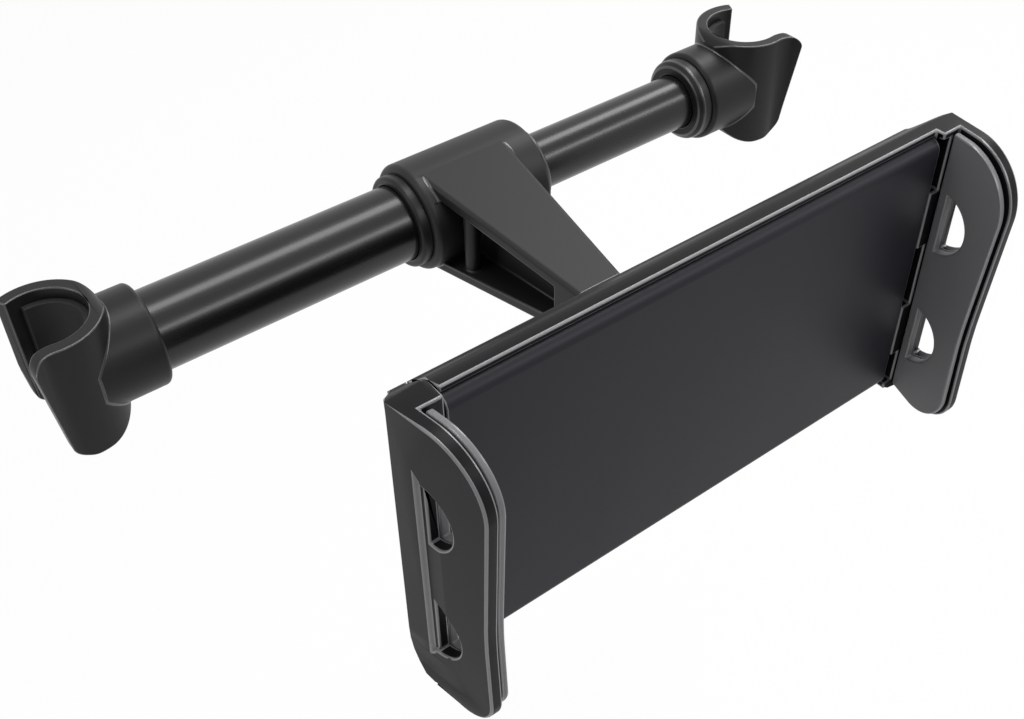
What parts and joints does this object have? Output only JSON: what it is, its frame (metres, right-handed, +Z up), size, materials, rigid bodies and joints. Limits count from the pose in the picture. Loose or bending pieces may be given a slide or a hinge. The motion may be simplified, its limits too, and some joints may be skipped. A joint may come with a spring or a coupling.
{
  "type": "tablet holder",
  "caption": "Black tablet holder for car headrest posts: telescoping bar with claws, short arm, ball joint and a spring clamp tray.",
  "frame": {"origin": "on the bar's axis at the arm's middle plane, between the two headrest posts", "axes": "+X along the bar towards the thin tube, -Y towards the viewer and the tray's face, +Z up along the posts"},
  "size_m": [0.1914, 0.1075, 0.0667],
  "materials": {
    "anodised_tube": "gloss black anodised",
    "black_plastic": "satin moulded",
    "tray_plastic": "soft satin",
    "rubber": "matte",
    "steel": "plain",
    "black_screw": "black oxide"
  },
  "bodies": {
    "bar": {"outer_tube": "anodised_tube", "guide_bush": "black_plastic", "left_end_plug": "black_plastic", "bar_spring": "steel", "left_claw": "black_plastic", "left_claw_pad": "rubber", "left_claw_screw": "black_screw", "bracket_arm": "black_plastic", "end_ring": "black_plastic", "bracket_screw": "black_screw", "ball_stud": "black_plastic"},
    "inner_bar": {"inner_tube": "anodised_tube", "inner_stop": "black_plastic", "reducer_bush": "black_plastic", "right_end_plug": "black_plastic", "right_claw": "black_plastic", "right_claw_pad": "rubber", "right_claw_screw": "black_screw"},
    "ball_pad": {"friction_pad": "rubber"},
    "nut": {"ring_nut": "black_plastic"},
    "tray": {"back_shell": "tray_plastic", "front_plate": "tray_plastic", "right_clip_pad": "rubber", "tray_screws": "black_screw", "upper_pull_spring": "steel", "lower_pull_spring": "steel"},
    "clip": {"slide_clip": "tray_plastic", "left_clip_pad": "rubber"}
  },
  "joints": [
    {"name": "bar_extend", "type": "slide", "parent": "bar", "child": "inner_bar", "axis": [1, 0, 0], "range_m": [-0.04, 0], "stiffness_N_per_m": 300, "springref_m": 0.02, "deforming": ["bar_spring"]},
    {"name": "ball_pan", "type": "hinge", "parent": "bar", "child": "ball_pad", "pos_m": [0, -0.0595, 0], "axis": [0, 0, 1], "range_deg": [-20, 20]},
    {"name": "ball_tilt", "type": "hinge", "parent": "ball_pad", "child": "nut", "pos_m": [0, -0.0595, 0], "axis": [1, 0, 0], "range_deg": [-20, 20]},
    {"name": "tray_spin", "type": "hinge", "parent": "nut", "child": "tray", "pos_m": [0, -0.0595, 0], "axis": [0, 1, 0], "range_deg": [-180, 180]},
    {"name": "clip_pull", "type": "slide", "parent": "tray", "child": "clip", "axis": [-1, 0, 0], "range_m": [0, 0.06], "stiffness_N_per_m": 150, "springref_m": -0.03, "deforming": ["upper_pull_spring", "lower_pull_spring"]}
  ]
}
